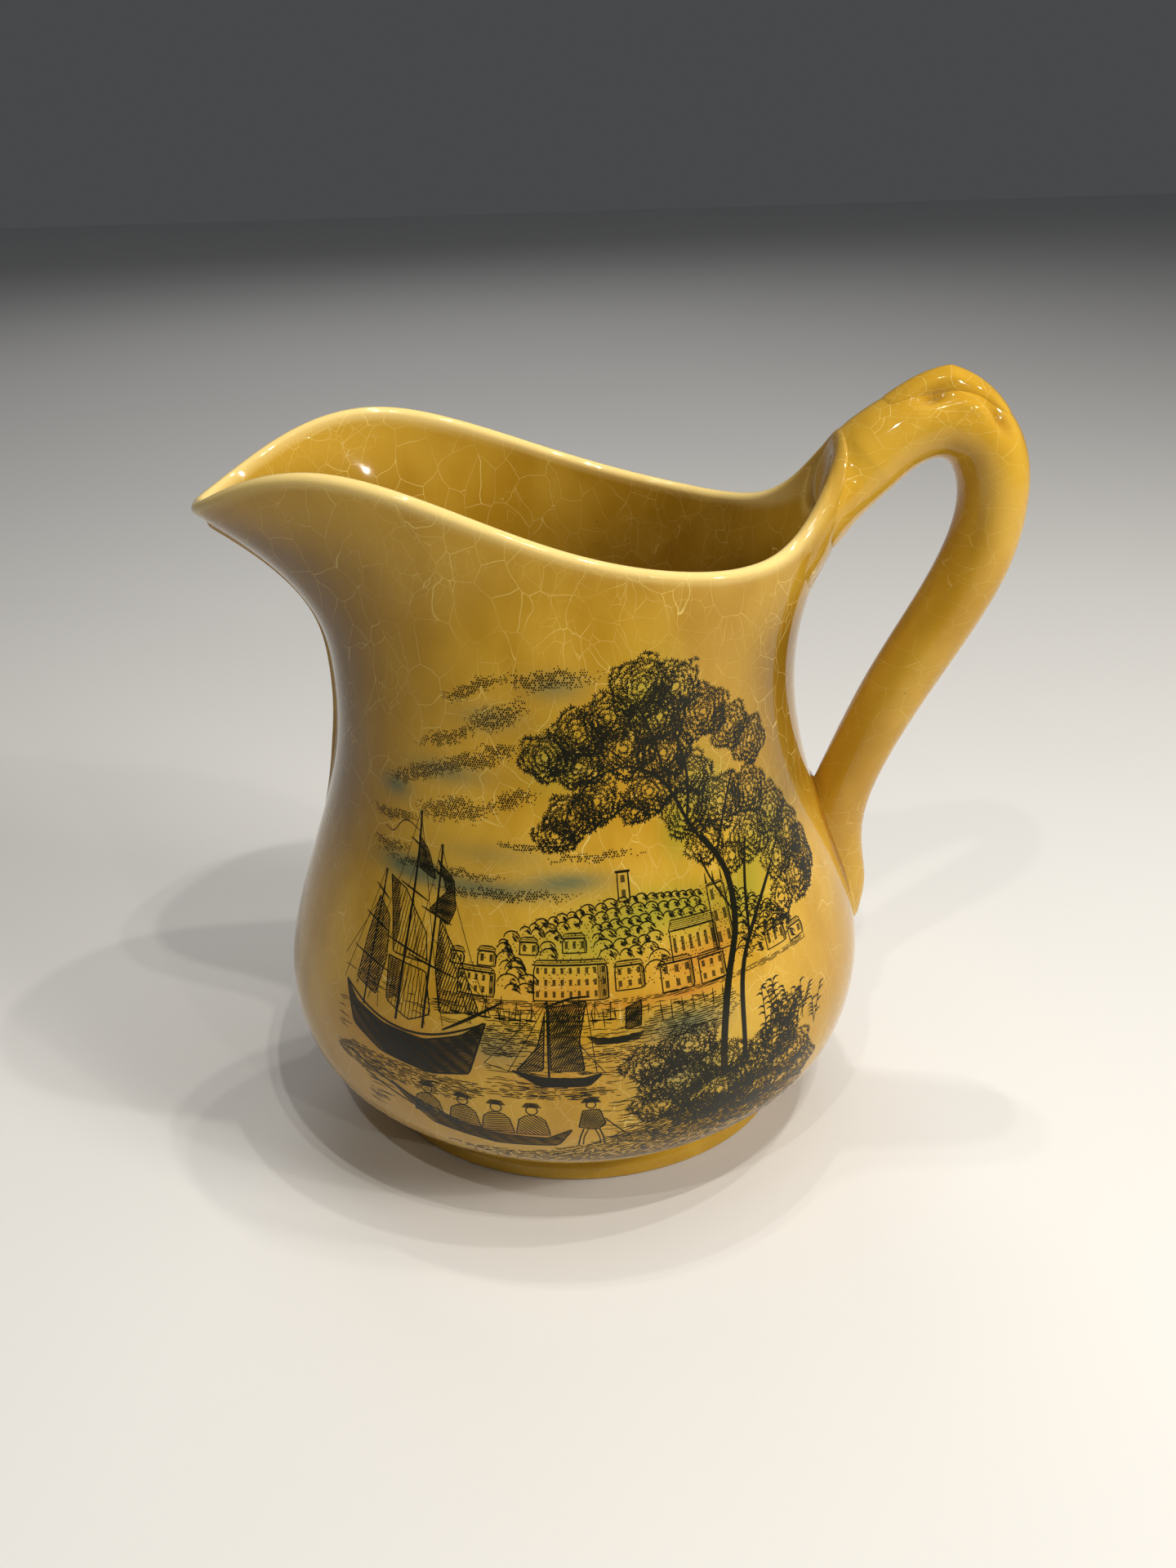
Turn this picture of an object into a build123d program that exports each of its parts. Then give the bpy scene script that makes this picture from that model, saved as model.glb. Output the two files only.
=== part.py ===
from build123d import *
import os
from math import cos, sin, pi, hypot

# Ceramic pitcher, millimetres, +Z up. The origin is the centre of the foot on the table.
# The spout points to -X, the handle to +X, and the printed front faces -Y.
# The jug is an oval moulded earthenware body with a foot ring, an applied handle held by slip
# at both ends, a thumb rest, a raised keel rib under the spout and a transfer print on each side.

os.makedirs("parts", exist_ok=True)

# --- driving dimensions ---------------------------------------------------------------------
foot_height = 5.2          # table to the crease under the belly
foot_half_length = 56.0    # along X at the table
foot_half_width = 46.8     # along Y at the table
foot_draft = 1.3           # how much the foot closes in towards the crease
foot_wall = 8.0            # width of the ring that stands on the table

wall = 4.0                 # clay wall
floor_thickness = 5.0      # clay under the belly
lip_height = 170.0         # only the two rim edges rise above this
rim_round = 1.2            # rounding of both edges of the lip

# Oval sections of the outer wall: height, reach to the spout, reach to the handle,
# half width, and how far the spout side is pinched to a point.
wall_sections = [
    (5.2, 52.0, 52.0, 43.8, 0.0),
    (9.0, 55.6, 55.4, 49.0, 0.0),
    (14.0, 60.4, 59.8, 54.8, 0.0),
    (20.0, 66.6, 65.0, 60.7, 0.0),
    (27.0, 72.2, 70.6, 66.2, 0.0),
    (36.0, 75.4, 74.0, 69.4, 0.0),
    (48.0, 75.8, 75.0, 69.9, 0.0),
    (64.0, 71.8, 71.8, 66.2, 0.0),
    (80.0, 66.1, 66.1, 60.0, 0.0),
    (96.0, 60.5, 60.5, 54.0, 0.0),
    (112.0, 56.8, 56.8, 49.6, 0.0),
    (128.0, 56.0, 55.7, 46.4, 0.04),
    (142.0, 59.0, 57.8, 43.8, 0.12),
    (156.0, 71.0, 62.0, 41.4, 0.27),
    (168.0, 88.4, 64.8, 40.4, 0.35),
    (180.0, 109.0, 66.6, 40.0, 0.41),
    (192.0, 132.0, 68.0, 39.8, 0.46),
]

# Side view of the rim, from beyond the spout tip to beyond the handle: x, height.
rim_line = [
    (-120.0, 145.0), (-100.0, 155.0), (-84.0, 166.5), (-68.0, 176.3), (-50.0, 180.5),
    (-30.0, 176.8), (-10.0, 169.9), (10.0, 163.5), (30.0, 159.3), (44.0, 159.0),
    (54.0, 163.4), (62.0, 173.0), (68.0, 181.5), (78.0, 196.0),
]

# Handle, from inside the rim wall round to its pointed end on the belly:
# x, height, half width along Y, half thickness.
handle_sections = [
    (55.0, 158.5, 18.0, 11.0),
    (63.0, 166.2, 14.0, 9.6),
    (69.6, 173.4, 11.2, 8.7),
    (77.2, 179.2, 9.8, 8.4),
    (86.0, 181.6, 9.2, 8.4),
    (93.3, 178.6, 9.0, 8.3),
    (97.6, 172.0, 9.0, 8.1),
    (99.0, 163.0, 9.0, 7.8),
    (97.4, 151.8, 9.0, 7.9),
    (93.1, 140.6, 8.8, 7.9),
    (87.2, 129.0, 8.6, 7.8),
    (80.4, 115.9, 8.2, 7.6),
    (74.2, 102.0, 7.8, 7.2),
    (69.8, 90.0, 7.3, 7.4),
    (67.2, 79.0, 6.8, 8.4),
    (67.0, 68.0, 6.2, 9.4),
    (69.0, 57.5, 4.8, 8.6),
    (71.5, 49.5, 2.4, 5.0),
]

thumb_rest_x = 86.0        # the knob on top of the handle
thumb_rest_layers = [(184.0, 9.0, 6.4), (188.6, 7.0, 5.2), (191.4, 4.0, 3.2), (193.2, 1.2, 1.0)]

rib_half_width = 2.2       # raised keel rib from the spout tip down to the belly
rib_height = 1.1
rib_bottom = 84.0
rib_step = 8.0

slip_width = 1.6           # luting slip squeezed out round each end of the handle
slip_height = 1.3
lower_slip_zone = (44.0, 98.0)
upper_slip_zone = (146.0, 182.0)

print_thickness = 0.35      # fired transfer print, a colour layer on the wall
print_inner_edge = 8.0     # the layer is cut from beyond this distance either side of the middle
print_outline = [          # front view of the printed scene: x, height
    (-56.0, 50.0), (-54.0, 96.0), (-45.0, 134.0), (-18.0, 146.0), (14.0, 142.0),
    (38.0, 145.0), (50.0, 128.0), (52.0, 96.0), (58.0, 50.0), (44.0, 24.0), (6.0, 19.0),
    (-32.0, 24.0),
]

points_per_section = 48
big = 400.0                # larger than the whole jug


def ring(reach_spout, reach_handle, half_width, pinch, height, inset=0.0):
    """One closed oval section; the spout side can be pinched towards a point."""
    points = []
    for i in range(points_per_section):
        angle = 2 * pi * i / points_per_section
        c, s = cos(angle), sin(angle)
        reach = reach_handle - inset if c > 0 else reach_spout - inset
        squeeze = pinch if c < 0 else 0.0
        points.append((reach * c, (half_width - inset) * s * (1 - squeeze * c * c), height))
    return Wire([Edge.make_spline([Vector(*p) for p in points], periodic=True)])


def walls(inset=0.0, sections=wall_sections):
    """The solid inside the outer wall, optionally inset or grown by a negative inset."""
    return Part() + Solid.make_loft([ring(a, b, w, k, z, inset) for z, a, b, w, k in sections])


def cavity():
    """Inside of the jug: follows the wall at a constant clay thickness, over a dished floor."""
    floor = foot_height + floor_thickness
    rings = []
    for i, (z, a, b, w, k) in enumerate(wall_sections):
        if z <= floor:
            continue
        z0, a0 = wall_sections[i - 1][:2]
        slope = min(abs((a - a0) / (z - z0)), 1.4)
        rings.append((z, a, b, w, k, wall * hypot(1.0, slope)))
    first = rings[0]
    rings.insert(0, (floor, first[1] - 12.0, first[2] - 12.0, first[3] - 12.0, 0.0, wall))
    return Part() + Solid.make_loft([ring(a, b, w, k, z, inset) for z, a, b, w, k, inset in rings])


def below_rim():
    """Everything under the rim line, as a tall block whose top follows the rim in side view."""
    top = Edge.make_spline([Vector(x, -big / 2, z) for x, z in rim_line])
    (x0, z0), (x1, z1) = rim_line[0], rim_line[-1]
    sides = [
        Edge.make_line(Vector(x1, -big / 2, z1), Vector(x1, -big / 2, -10)),
        Edge.make_line(Vector(x1, -big / 2, -10), Vector(x0, -big / 2, -10)),
        Edge.make_line(Vector(x0, -big / 2, -10), Vector(x0, -big / 2, z0)),
    ]
    return Part() + Solid.extrude(Face(Wire([top] + sides)), Vector(0, big, 0))


def band(low, high):
    """A wide slab between two heights."""
    return Part() + Solid.make_box(big, big, high - low, Plane((-big / 2, -big / 2, low)))


def handle_blank(grow=0.0):
    """The whole handle, with both ends running into the wall."""
    wires = []
    for i, (x, z, half_y, half_n) in enumerate(handle_sections):
        before = handle_sections[max(i - 1, 0)]
        after = handle_sections[min(i + 1, len(handle_sections) - 1)]
        along = Vector(after[0] - before[0], 0, after[1] - before[1])
        plane = Plane(origin=(x, 0, z), x_dir=(0, 1, 0), z_dir=along)
        wires.append(Wire([Edge.make_ellipse(half_y + grow, half_n + grow, plane)]))
    return Part() + Solid.make_loft(wires)


def slip(zone, outer_wall, handle_solid, rim_block, inside):
    """Slip squeezed out along the joint between the handle and the wall."""
    grown = handle_blank(slip_width) & band(*zone) & walls(-slip_height)
    return (grown - outer_wall - handle_solid - inside) & rim_block


def keel_rib(outer_wall, rim_block):
    """Flat raised rib along the keel of the spout, fading into the belly."""
    heights = [rib_bottom + rib_step * i for i in range(12)]
    knots = [(z, a) for z, a, *_ in wall_sections]

    def reach(z):
        for (z0, a0), (z1, a1) in zip(knots, knots[1:]):
            if z0 <= z <= z1:
                return a0 + (a1 - a0) * (z - z0) / (z1 - z0)
        return knots[-1][1]

    fade = [min(1.0, 0.15 + i / 4) for i in range(len(heights))]
    outer = [Vector(-reach(z) - rib_height * f, 0, z) for z, f in zip(heights, fade)]
    inner = [Vector(-reach(z) + 6.0, 0, z) for z in heights]
    edges = [
        Edge.make_spline(outer),
        Edge.make_line(outer[-1], inner[-1]),
        Edge.make_spline(inner[::-1]),
        Edge.make_line(inner[0], outer[0]),
    ]
    strip = Part() + Solid.extrude(Face(Wire(edges)), Vector(0, 2 * rib_half_width, 0))
    return (Pos(0, -rib_half_width, 0) * strip - outer_wall) & rim_block


def transfer_print(side, outer_wall):
    """Colour layer on one side of the belly; side is -1 for the front and +1 for the back."""
    outline = Wire.make_polygon([Vector(x, side * print_inner_edge, z) for x, z in print_outline])
    prism = Part() + Solid.extrude(Face(outline), Vector(0, side * 90.0, 0))
    return (walls(-print_thickness) & prism) - outer_wall


def foot():
    """Ring that the jug stands on, closing in slightly towards the crease."""
    def oval(half_length, half_width, z):
        return Wire([Edge.make_ellipse(half_length, half_width, Plane((0, 0, z)))])

    outside = Part() + Solid.make_loft([
        oval(foot_half_length, foot_half_width, 0.0),
        oval(foot_half_length - foot_draft, foot_half_width - foot_draft, foot_height),
    ])
    hollow = Part() + Solid.make_loft([
        oval(foot_half_length - foot_wall, foot_half_width - foot_wall, -1.0),
        oval(foot_half_length - foot_wall - 2, foot_half_width - foot_wall - 2, foot_height + 1.0),
    ])
    return outside - hollow


def thumb_rest(handle_solid):
    """Pointed knob for the thumb on the top of the bend."""
    rings = [
        Wire([Edge.make_ellipse(a, b, Plane((thumb_rest_x, 0, z)))]) for z, a, b in thumb_rest_layers
    ]
    return (Part() + Solid.make_loft(rings)) - handle_solid


def solids_only(shape):
    """Keep the real solids of a cut, without slivers."""
    pieces = [s for s in shape.solids() if s.volume > 1.0]
    return pieces[0] if len(pieces) == 1 else Compound(pieces)


outer_wall = walls()
inside = cavity()
rim_block = below_rim()

body = (outer_wall - inside) & rim_block
lip_edges = [e for e in body.edges() if e.is_closed and e.bounding_box().max.Z > lip_height]
body = body.fillet(rim_round, lip_edges)
handle = handle_blank() - outer_wall
lower_slip = slip(lower_slip_zone, outer_wall, handle, rim_block, inside)
upper_slip = slip(upper_slip_zone, outer_wall, handle, rim_block, inside)

nodes = {
    "vessel_body": body,
    "foot_ring": foot(),
    "handle": handle,
    "thumb_rest": thumb_rest(handle_blank()),
    "spout_keel_rib": keel_rib(outer_wall, rim_block),
    "lower_luting_slip": lower_slip,
    "upper_luting_slip": upper_slip,
    "front_transfer_print": transfer_print(-1, outer_wall),
    "back_transfer_print": transfer_print(1, outer_wall),
}

for name, shape in nodes.items():
    piece = solids_only(shape)
    piece.label = name
    export_step(piece, f"parts/{name}.step")
    box = piece.bounding_box()
    print(name, [round(v, 1) for v in (*box.min, *box.max)], round(piece.volume))
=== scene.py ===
import math

import bpy
import numpy as np
from mathutils import Matrix, Vector
from mathutils.bvhtree import BVHTree


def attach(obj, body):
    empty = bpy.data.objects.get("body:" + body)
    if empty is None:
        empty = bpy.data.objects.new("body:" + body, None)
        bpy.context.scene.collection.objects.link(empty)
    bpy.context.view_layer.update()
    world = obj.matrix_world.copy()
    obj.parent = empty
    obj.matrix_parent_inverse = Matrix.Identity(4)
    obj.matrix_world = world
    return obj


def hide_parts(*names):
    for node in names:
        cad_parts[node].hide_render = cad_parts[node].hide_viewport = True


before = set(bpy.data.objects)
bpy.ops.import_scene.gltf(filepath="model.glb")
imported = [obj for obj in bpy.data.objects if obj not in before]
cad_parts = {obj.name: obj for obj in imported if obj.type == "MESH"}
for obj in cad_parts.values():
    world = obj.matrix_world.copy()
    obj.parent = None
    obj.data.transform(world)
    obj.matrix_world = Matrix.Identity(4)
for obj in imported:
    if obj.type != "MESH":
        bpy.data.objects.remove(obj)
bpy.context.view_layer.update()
mm = 0.001
print("frame loaded")


# small tools

def spline(knots, values):
    # a natural cubic through the knots, straight beyond both ends
    t, v = np.asarray(knots, float), np.asarray(values, float)
    step, size = np.diff(t), len(t)
    matrix, right = np.eye(size), np.zeros(size)
    for i in range(1, size - 1):
        matrix[i, i - 1:i + 2] = step[i - 1], 2 * (step[i - 1] + step[i]), step[i]
        right[i] = 6 * ((v[i + 1] - v[i]) / step[i] - (v[i] - v[i - 1]) / step[i - 1])
    bend = np.linalg.solve(matrix, right)

    def at(x):
        x = np.asarray(x, float)
        i = np.clip(np.searchsorted(t, x) - 1, 0, size - 2)
        h = step[i]
        a, b = (t[i + 1] - x) / h, (x - t[i]) / h
        inside = a * v[i] + b * v[i + 1] + ((a**3 - a) * bend[i] + (b**3 - b) * bend[i + 1]) * h * h / 6
        low = v[0] + (x - t[0]) * ((v[1] - v[0]) / step[0] - bend[1] * step[0] / 6)
        high = v[-1] + (x - t[-1]) * ((v[-1] - v[-2]) / step[-1] + bend[-2] * step[-1] / 6)
        return np.where(x < t[0], low, np.where(x > t[-1], high, inside))

    return at


def ease(x, low=0.0, high=1.0):
    x = np.clip((np.asarray(x, float) - low) / (high - low), 0, 1)
    return x * x * (3 - 2 * x)


def unit(v):
    return v / np.maximum(np.linalg.norm(v, axis=-1, keepdims=True), 1e-12)


def pickNothing():
    if bpy.context.object and bpy.context.object.mode != "OBJECT":
        bpy.ops.object.mode_set(mode="OBJECT")
    bpy.ops.object.select_all(action="DESELECT")


def paint(piece, name, values):
    layer = piece.data.attributes.new(name, "FLOAT", "POINT")
    layer.data.foreach_set("value", np.asarray(values, np.float32).reshape(-1))


def gridPiece(name, points, weld=True, **paints):
    # a grid primitive laid on the given rows and columns of points, in mm
    rows, columns = points.shape[:2]
    pickNothing()
    bpy.ops.mesh.primitive_grid_add(x_subdivisions=columns - 1, y_subdivisions=rows - 1, size=1)
    piece = bpy.context.object
    piece.name = piece.data.name = name
    piece.data.vertices.foreach_set("co", (points * mm).reshape(-1).astype(np.float32))
    for layer, values in paints.items():
        paint(piece, layer, values)
    if weld:
        bpy.ops.object.mode_set(mode="EDIT")
        bpy.ops.mesh.select_all(action="SELECT")
        bpy.ops.mesh.remove_doubles(threshold=0.000002)
        bpy.ops.mesh.normals_make_consistent(inside=False)
        bpy.ops.object.mode_set(mode="OBJECT")
    bpy.ops.object.shade_smooth()
    piece.data.update()
    return piece


def finish(piece, material, slot, *nodes):
    piece.data.materials.clear()
    piece.data.materials.append(material)
    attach(piece, "root")
    if nodes:
        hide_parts(*nodes)


def pointsOf(piece):
    values = np.empty(len(piece.data.vertices) * 3, np.float32)
    piece.data.vertices.foreach_get("co", values)
    return values.reshape(-1, 3).astype(float) / mm


def treeOf(piece):
    return BVHTree.FromPolygons([Vector(p) for p in pointsOf(piece)],
        [f.vertices[:] for f in piece.data.polygons])


def distanceTo(tree, points):
    # signed distance to a closed shell, and the way it grows
    distance, away = np.empty(len(points)), np.empty((len(points), 3))
    for i, point in enumerate(points):
        place, normal, _, far = tree.find_nearest(Vector(point))
        gap = Vector(point) - place
        side = -1.0 if gap.dot(normal) < 0 else 1.0
        distance[i] = side * far
        away[i] = side * gap / far if far > 1e-4 else normal
    return distance, away


# the vessel: oval sections of the outer wall as height, reach to the spout, reach to the handle,
# half width and pinch of the spout side, then the side view of the rim as x and height, in mm
vessel = dict(
    sections=[
        (5.2, 52.0, 52.0, 43.8, 0.0), (9.0, 55.6, 55.4, 49.0, 0.0), (14.0, 60.4, 59.8, 54.8, 0.0),
        (20.0, 66.6, 65.0, 60.7, 0.0), (27.0, 72.2, 70.6, 66.2, 0.0), (36.0, 75.4, 74.0, 69.4, 0.0),
        (48.0, 75.8, 75.0, 69.9, 0.0), (64.0, 71.8, 71.8, 66.2, 0.0), (80.0, 66.1, 66.1, 60.0, 0.0),
        (96.0, 60.5, 60.5, 54.0, 0.0), (112.0, 56.8, 56.8, 49.6, 0.0), (128.0, 56.0, 55.7, 46.4, 0.04),
        (142.0, 59.0, 57.8, 43.8, 0.12), (156.0, 71.0, 62.0, 41.4, 0.27), (168.0, 88.4, 64.8, 40.4, 0.35),
        (180.0, 109.0, 66.6, 40.0, 0.41), (192.0, 132.0, 68.0, 39.8, 0.46),
    ],
    rim=[
        (-120.0, 145.0), (-100.0, 155.0), (-84.0, 166.5), (-68.0, 176.3), (-50.0, 180.5), (-30.0, 176.8),
        (-10.0, 169.9), (10.0, 163.5), (30.0, 159.3), (44.0, 158.3), (53.0, 160.6), (59.0, 166.0),
        (64.0, 174.0), (70.0, 186.0),
    ],
    wall=4.0, lip=3.4, floor=10.2, base=5.2, under=(0.0, 0.45, 0.82, 0.93, 0.98),
    columns=320, outerRows=130, lipRows=12, innerRows=96,
)
heights = [s[0] for s in vessel["sections"]]
reachSpout, reachHandle, halfWidth, pinch = (
    spline(heights, [s[i] for s in vessel["sections"]]) for i in range(1, 5))
rimHeight = spline(*zip(*vessel["rim"]))


def wallPoint(angle, z):
    c, s = np.cos(angle), np.sin(angle)
    spoutSide = ease(-c, -0.22, 0.22)
    reach = reachHandle(z) + (reachSpout(z) - reachHandle(z)) * spoutSide
    return np.stack([reach * c, halfWidth(z) * s * (1 - pinch(z) * spoutSide * c * c), z + 0 * c], -1)


def wallNormal(angle, z):
    around = unit(wallPoint(angle + 1e-4, z) - wallPoint(angle - 1e-4, z))
    up = unit(wallPoint(angle, z + 1e-2) - wallPoint(angle, z - 1e-2))
    return unit(np.cross(around, up))


def rimTop(angle):
    low, high = np.full(angle.shape, 140.0), np.full(angle.shape, 192.0)
    for _ in range(40):
        middle = (low + high) / 2
        over = middle > rimHeight(wallPoint(angle, middle)[..., 0])
        low, high = np.where(over, low, middle), np.where(over, middle, high)
    return (low + high) / 2


def vesselRows():
    v = vessel
    angle = np.linspace(0, 2 * np.pi, v["columns"] + 1)
    top = rimTop(angle)
    half = v["lip"] / 2
    normal = wallNormal(angle, top)
    turn = 1e-3
    rimWay = unit(wallPoint(angle + turn, rimTop(angle + turn)) - wallPoint(angle - turn,
        rimTop(angle - turn)))
    rise = unit(np.cross(normal, rimWay))
    rise *= np.sign(rise[..., 2:])
    end = top - half * np.clip(rise[..., 2], 0.35, 1)
    rows = []
    for s in np.linspace(0, 1, v["outerRows"]):
        z = v["base"] + (end - v["base"]) * s
        rows.append(wallPoint(angle, z))
    normal = wallNormal(angle, end)
    outer = rows[-1]
    for turn in np.linspace(0, np.pi, v["lipRows"] + 2)[1:-1]:
        rows.append(outer - normal * half + normal * half * np.cos(turn) + rise * half * np.sin(turn))
    lastInner = 16.0
    for s in np.linspace(0, 1, v["innerRows"]):
        z = end + (lastInner - end) * s
        n = wallNormal(angle, z)
        thick = v["lip"] + (v["wall"] - v["lip"]) * ease(s, 0, 0.15)
        rows.append(wallPoint(angle, z) - n * thick)
    edge = rows[-1]
    for u in np.linspace(0, 1, 15)[1:]:
        shrink = 0.62 + 0.38 * np.cos(min(u * 1.6,
            1) * np.pi / 2) if u < 0.625 else 0.62 * (1 - (u - 0.625) / 0.375)
        drop = 1 - np.sin(min(u * 1.6, 1) * np.pi / 2)
        row = edge * shrink
        row[:, 2] = v["floor"] + (edge[:, 2] - v["floor"]) * drop
        rows.append(row)
    under = [wallPoint(angle, np.full(angle.shape, v["base"])) * [q, q, 1] for q in v["under"]]
    return np.array(under + rows)


vesselPoints = vesselRows()
body = gridPiece("vessel", vesselPoints[:, ::-1])
print("vessel", len(body.data.polygons))


# the foot ring
foot = dict(halfLength=56.0, halfWidth=46.8, height=5.2, draft=1.3, wall=8.0, round=1.0, columns=256)


def footRows():
    f = foot
    angle = np.linspace(0, 2 * np.pi, f["columns"] + 1)
    profile = []  # inset from the outside at the table, height
    for turn in np.linspace(-90, 0, 6):
        a = math.radians(turn)
        profile.append((f["round"] - f["round"] * math.cos(a), f["round"] + f["round"] * math.sin(a)))
    for s in (0.3, 0.6, 0.8):
        profile.append((f["draft"] * s * s, f["height"] * s))
    for turn in np.linspace(0, 90, 5):
        a = math.radians(turn)
        profile.append((f["draft"] + 0.6 - 0.6 * math.cos(a), f["height"] - 0.6 + 0.6 * math.sin(a)))
    profile += [(f["wall"] + 1.6, f["height"]), (f["wall"], 2.4), (f["wall"] - 0.4, 0.6), (f["wall"] - 1.0,
        0.0)]
    profile.append(profile[0])
    rows = []
    for inset, z in profile:
        rows.append(np.stack([(f["halfLength"] - inset) * np.cos(angle),
            (f["halfWidth"] - inset) * np.sin(angle),
                              np.full(angle.shape, z)], -1))
    return np.array(rows)


footRing = gridPiece("footRing", footRows()[:, ::-1])
print("foot ring", len(footRing.data.polygons))


# the handle: x, height, half width along Y and half thickness, from the rim to its point on the belly
handle = dict(
    sections=[
        (63.0, 166.6, 14.0, 9.6), (69.6, 173.4, 11.4, 8.8), (77.2, 179.2, 9.9, 8.4), (86.0, 181.6, 9.2, 8.4),
        (93.3, 178.6, 9.0, 8.3), (97.6, 172.0, 9.0, 8.1), (99.0, 163.0, 9.0, 7.8), (97.4, 151.8, 9.0, 7.9),
        (93.1, 140.6, 8.8, 7.9), (87.2, 129.0, 8.6, 7.8), (80.4, 115.9, 8.2, 7.6), (74.2, 102.0, 7.8, 7.2),
        (69.8, 90.0, 7.3, 7.4), (67.2, 79.0, 6.8, 8.4), (67.0, 68.0, 6.2, 9.4), (69.0, 57.5, 4.8, 8.6),
        (71.5, 49.5, 2.4, 5.0),
    ],
    rootHalfWidth=16.0, rootHeight=161.5, rootRise=11.0, rootSwing=5.0,
    rows=205, rootRows=26, columns=96, rootBlend=7.0, endBlend=1.1,
    knobHeight=3.3, knobReach=11.0, dimple=1.75,
)
way = np.concatenate([[0], np.cumsum(np.hypot(*np.diff([s[:2] for s in handle["sections"]], axis=0).T))])
handleX, handleZ, handleY, handleN = (spline(way, [s[i] for s in handle["sections"]]) for i in range(4))
knobWay = way[3]


def dimples(s, turn):
    # two dimples under the knob on each side of the bend, with a raised lobe between them
    h, side = handle, np.abs(turn)
    front = np.exp(-((s + 2.8) / 2.1) ** 2 - ((side - 0.70) / 0.17) ** 2)
    back = np.exp(-((s - 7.6 - (side - 0.7) * 6) / 2.2) ** 2 - ((side - 0.78) / 0.24) ** 2)
    lobe = np.exp(-((s - 2.6) / 2.4) ** 2 - ((side - 0.92) / 0.22) ** 2)
    return h["dimple"] * (front + back - 0.45 * lobe)


def handlePoint(t, turn):
    # turn 0 is the outer side of the loop, pi is the finger side
    dx, dz = handleX(t + 0.01) - handleX(t - 0.01), handleZ(t + 0.01) - handleZ(t - 0.01)
    size = np.hypot(dx, dz)
    outX, outZ = -dz / size, dx / size
    n, y = handleN(t) * np.cos(turn), handleY(t) * np.sin(turn)
    return np.stack([handleX(t) + outX * n, y + 0 * n, handleZ(t) + outZ * n], -1)


def handleNormal(t, turn):
    along = handlePoint(t + 0.05, turn) - handlePoint(t - 0.05, turn)
    return unit(np.cross(along, handlePoint(t, turn + 0.01) - handlePoint(t, turn - 0.01)))


def insideWall(y, z):
    return reachHandle(z) * np.sqrt(np.clip(1 - (y / halfWidth(z)) ** 2, 0, 1)) - vessel["wall"] / 2


def handleRows():
    h = handle
    turn = np.linspace(0, 2 * np.pi, h["columns"] + 1)
    wrapped = (turn + np.pi) % (2 * np.pi) - np.pi
    y, z = h["rootHalfWidth"] * np.sin(turn), h["rootHeight"] + h["rootRise"] * np.cos(turn)
    z = np.minimum(z, rimHeight(insideWall(y, z)) - 2.2)
    rows = []
    for q in np.linspace(0, 1, 5)[:-1]:
        yy, zz = y * q, h["rootHeight"] + (z - h["rootHeight"]) * q
        rows.append(np.stack([insideWall(yy, zz), yy, zz], -1))
    root = np.stack([insideWall(y, z), y, z], -1)
    first = way[1] + 1.0
    ring = handlePoint(np.full(turn.shape, first), turn)
    along = unit(np.array([handleX(first + 0.1) - handleX(first), 0, handleZ(first + 0.1) - handleZ(first)]))
    swing = ring - along * h["rootSwing"]
    for q in np.linspace(0, 1, h["rootRows"])[:-1]:
        rows.append((1 - q) ** 2 * root + 2 * q * (1 - q) * swing + q * q * ring)
    for t in np.linspace(first, way[-1], h["rows"]):
        row = handlePoint(np.full(turn.shape, t), turn)
        rows.append(row - handleNormal(np.full(turn.shape, t), turn) * dimples(t - knobWay, wrapped)[:, None])
    tip = rows[-1]
    last = tip.mean(0) + np.array([1.0, 0, -3.5])
    for q in (0.75, 0.45, 0.0):
        rows.append(last + (tip - last) * q)
    return np.array(rows)


handleGrid = handleRows()
loop = gridPiece("handleBlank", handleGrid)


# where two pieces meet, both surfaces are drawn onto one rounded blend; a point that the other
# piece owns sinks a little under it, so the joint shows no gap and no step
def blendOnto(points, own, other, radius, sink=1.2, steps=6, weight=None):
    points = points.copy()
    weight = np.ones(len(points)) if weight is None else weight
    index = np.arange(len(points))
    for step in range(steps):
        p = points[index]
        a, growA = distanceTo(own, p)
        b, growB = distanceTo(other, p)
        if step == 0:
            keep = (np.abs(b - a) < radius * weight) & (b > -radius)
            index, p, a, b, growA, growB = index[keep], p[keep], a[keep], b[keep], growA[keep], growB[keep]
            sunk = np.where(b < a, np.minimum((a - b) ** 2 / radius, sink), 0.0)
            size = radius * np.maximum(weight[index], 0.01)
            first = np.clip(size - np.abs(a - b), 0, None) / size
        h = np.clip(size - np.abs(a - b), 0, None) / size
        joint = np.minimum(a, b) - h * h * size / 4
        share = np.where(a < b, 1 - h / 2, h / 2)[:, None]
        grow = share * growA + (1 - share) * growB
        slope = np.maximum((grow ** 2).sum(1), 0.15)
        points[index] = p - np.clip((joint + sunk) / slope, -1.5, 1.5)[:, None] * grow
    near = np.zeros(len(points))
    near[index] = first
    return points, near


def relax(grid, weight, rounds, closed):
    # evens out a grid of points where the weight is above zero
    grid = grid.copy()
    for _ in range(rounds):
        if closed:
            ring = grid[:, :-1]
            side = (np.roll(ring, 1, 1) + np.roll(ring, -1, 1)) / 2
            side = np.concatenate([side, side[:, :1]], 1)
        else:
            side = grid.copy()
            side[:, 1:-1] = (grid[:, :-2] + grid[:, 2:]) / 2
        rise = grid.copy()
        rise[1:-1] = (grid[:-2] + grid[2:]) / 2
        grid += 0.5 * weight[..., None] * ((side + rise) / 2 - grid)
    return grid


def thicken(piece, depth):
    pickNothing()
    piece.select_set(True)
    bpy.context.view_layer.objects.active = piece
    layer = piece.modifiers.new("thickness", "SOLIDIFY")
    layer.thickness, layer.offset = depth * mm, -1
    bpy.ops.object.modifier_apply(modifier=layer.name)
    bpy.ops.object.shade_smooth()


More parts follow.
